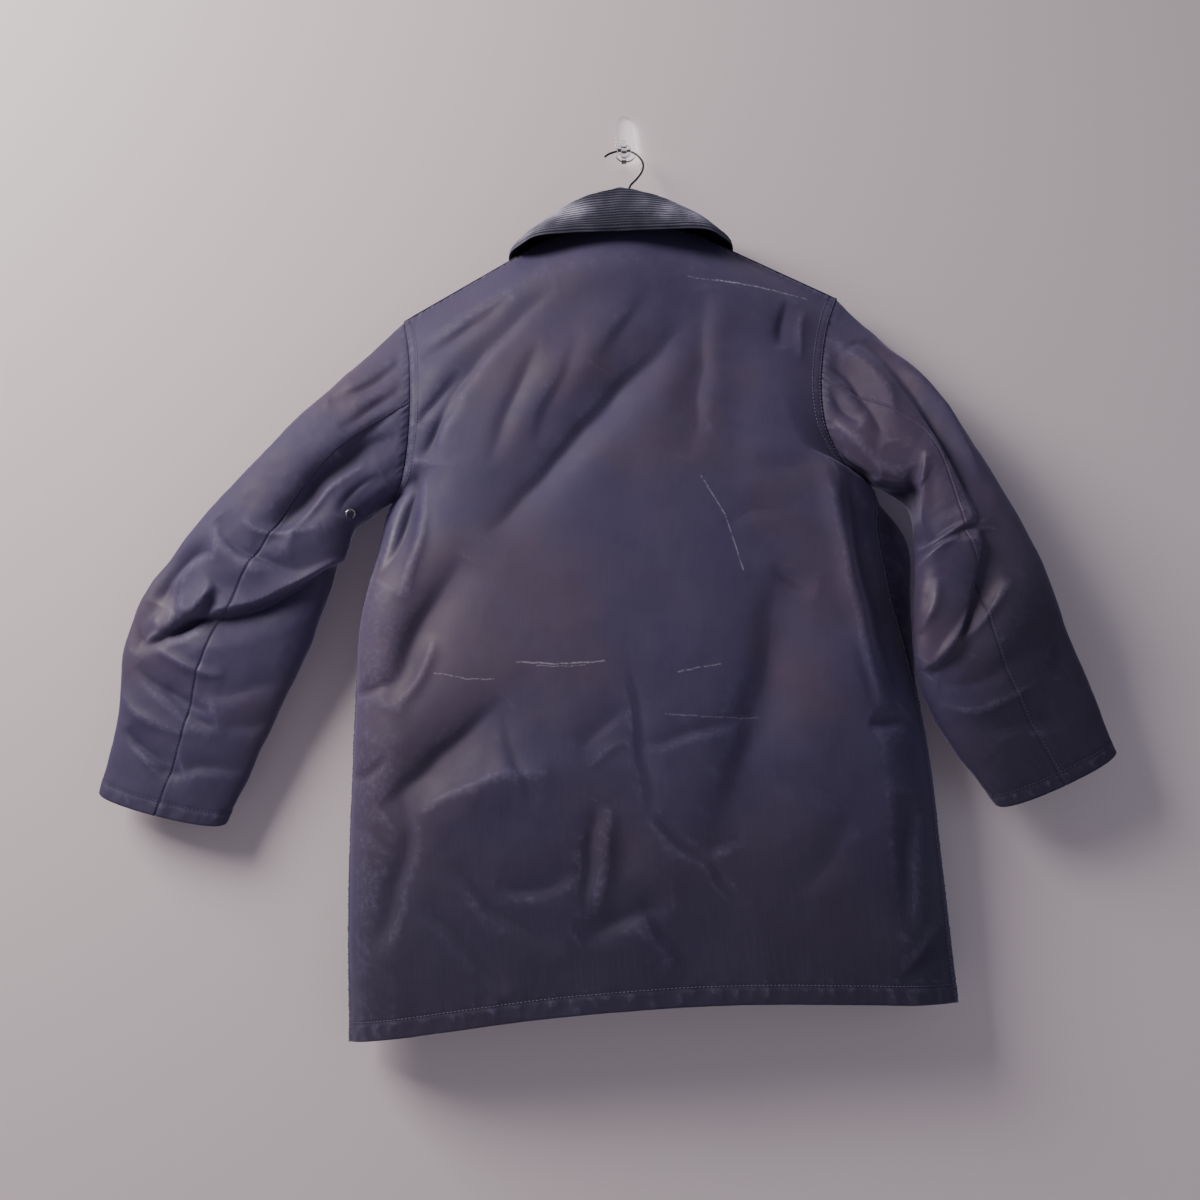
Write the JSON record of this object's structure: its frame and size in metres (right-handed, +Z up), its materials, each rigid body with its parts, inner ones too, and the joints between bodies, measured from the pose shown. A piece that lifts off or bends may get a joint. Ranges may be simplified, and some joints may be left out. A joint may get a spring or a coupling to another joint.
{
  "type": "waxed cotton jacket on a wire hanger and wall hook",
  "caption": "Waxed cotton jacket with a turned-down corduroy collar, hung on a wire hanger from a clear wall hook with its back to the room",
  "frame": {"origin": "on the back face of the wall hook's plate, where it lies on the wall, 27 mm below the plate's top", "axes": "+X to the right seen from the room, +Y into the wall, +Z up; the jacket's back faces -Y"},
  "size_m": [1.096, 0.1146, 1.063],
  "materials": {
    "waxed_cotton": "waxed plain-weave cotton, dark navy, soft uneven sheen",
    "corduroy": "cotton corduroy, dark navy, matt pile",
    "stud_metal": "aged plated brass",
    "hanger_wire": "black painted steel wire",
    "clear_plastic": "clear moulded plastic"
  },
  "bodies": {
    "root": {"back": "waxed_cotton", "front_left": "waxed_cotton", "front_right": "waxed_cotton", "sleeve_left_top": "waxed_cotton", "sleeve_left_under": "waxed_cotton", "sleeve_right_top": "waxed_cotton", "sleeve_right_under": "waxed_cotton", "collar": "corduroy", "stud_1": "stud_metal", "stud_2": "stud_metal", "stud_3": "stud_metal", "stud_4": "stud_metal", "stud_5": "stud_metal", "eyelet_left": "stud_metal", "hanger": "hanger_wire", "wall_hook": "clear_plastic"}
  },
  "joints": []
}
